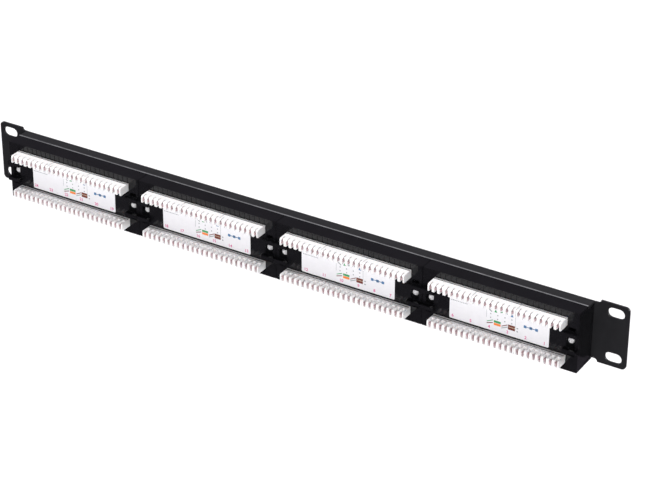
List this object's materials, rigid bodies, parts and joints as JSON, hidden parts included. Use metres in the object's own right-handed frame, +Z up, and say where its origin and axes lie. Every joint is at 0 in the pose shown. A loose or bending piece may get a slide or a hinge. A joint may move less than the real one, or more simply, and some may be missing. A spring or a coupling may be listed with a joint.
{
  "type": "patch panel",
  "caption": "Rack patch panel with modular jack sockets at the front and two rows of white punch-down blocks on each black rear module.",
  "frame": {"origin": "in the plane of the ears' rear faces, which rest on the rack rails, midway between the left and right slots and between the upper and lower slots", "axes": "+X to the right as seen from the front, +Y to the rear, where the punch-down blocks are, +Z up"},
  "size_m": [0.4826, 0.0323, 0.044],
  "materials": {
    "powder_coated_steel": "satin black powder coat with a fine texture",
    "black_plastic": "black moulded plastic, semi-gloss",
    "white_plastic": "white moulded plastic, slightly translucent",
    "contact_insert": "black moulded insert that holds the spring wires",
    "circuit_board": "green solder mask on glass fibre",
    "printed_label": "white film label with small printed colour marks",
    "screw_steel": "bright zinc plate",
    "gold_contact": "gold-plated spring wire",
    "bronze_contact": "tin-flashed phosphor bronze"
  },
  "bodies": {
    "root": {"rack_panel": "powder_coated_steel", "jack_housing_1": "black_plastic", "mounting_bracket_1": "black_plastic", "contact_carrier_1": "contact_insert", "circuit_board_1": "circuit_board", "rear_housing_1": "black_plastic", "wiring_label_1": "printed_label", "housing_screw_1_left": "screw_steel", "housing_screw_1_right": "screw_steel", "idc_block_1_top_1": "white_plastic", "idc_block_1_top_2": "white_plastic", "idc_block_1_top_3": "white_plastic", "idc_block_1_bottom_1": "white_plastic", "idc_block_1_bottom_2": "white_plastic", "idc_block_1_bottom_3": "white_plastic", "jack_housing_2": "black_plastic", "mounting_bracket_2": "black_plastic", "contact_carrier_2": "contact_insert", "circuit_board_2": "circuit_board", "rear_housing_2": "black_plastic", "wiring_label_2": "printed_label", "housing_screw_2_left": "screw_steel", "housing_screw_2_right": "screw_steel", "idc_block_2_top_1": "white_plastic", "idc_block_2_top_2": "white_plastic", "idc_block_2_top_3": "white_plastic", "idc_block_2_bottom_1": "white_plastic", "idc_block_2_bottom_2": "white_plastic", "idc_block_2_bottom_3": "white_plastic", "jack_housing_3": "black_plastic", "mounting_bracket_3": "black_plastic", "contact_carrier_3": "contact_insert", "circuit_board_3": "circuit_board", "rear_housing_3": "black_plastic", "wiring_label_3": "printed_label", "housing_screw_3_left": "screw_steel", "housing_screw_3_right": "screw_steel", "idc_block_3_top_1": "white_plastic", "idc_block_3_top_2": "white_plastic", "idc_block_3_top_3": "white_plastic", "idc_block_3_bottom_1": "white_plastic", "idc_block_3_bottom_2": "white_plastic", "idc_block_3_bottom_3": "white_plastic", "jack_housing_4": "black_plastic", "mounting_bracket_4": "black_plastic", "contact_carrier_4": "contact_insert", "circuit_board_4": "circuit_board", "rear_housing_4": "black_plastic", "wiring_label_4": "printed_label", "housing_screw_4_left": "screw_steel", "housing_screw_4_right": "screw_steel", "idc_block_4_top_1": "white_plastic", "idc_block_4_top_2": "white_plastic", "idc_block_4_top_3": "white_plastic", "idc_block_4_bottom_1": "white_plastic", "idc_block_4_bottom_2": "white_plastic", "idc_block_4_bottom_3": "white_plastic"}
  },
  "joints": []
}
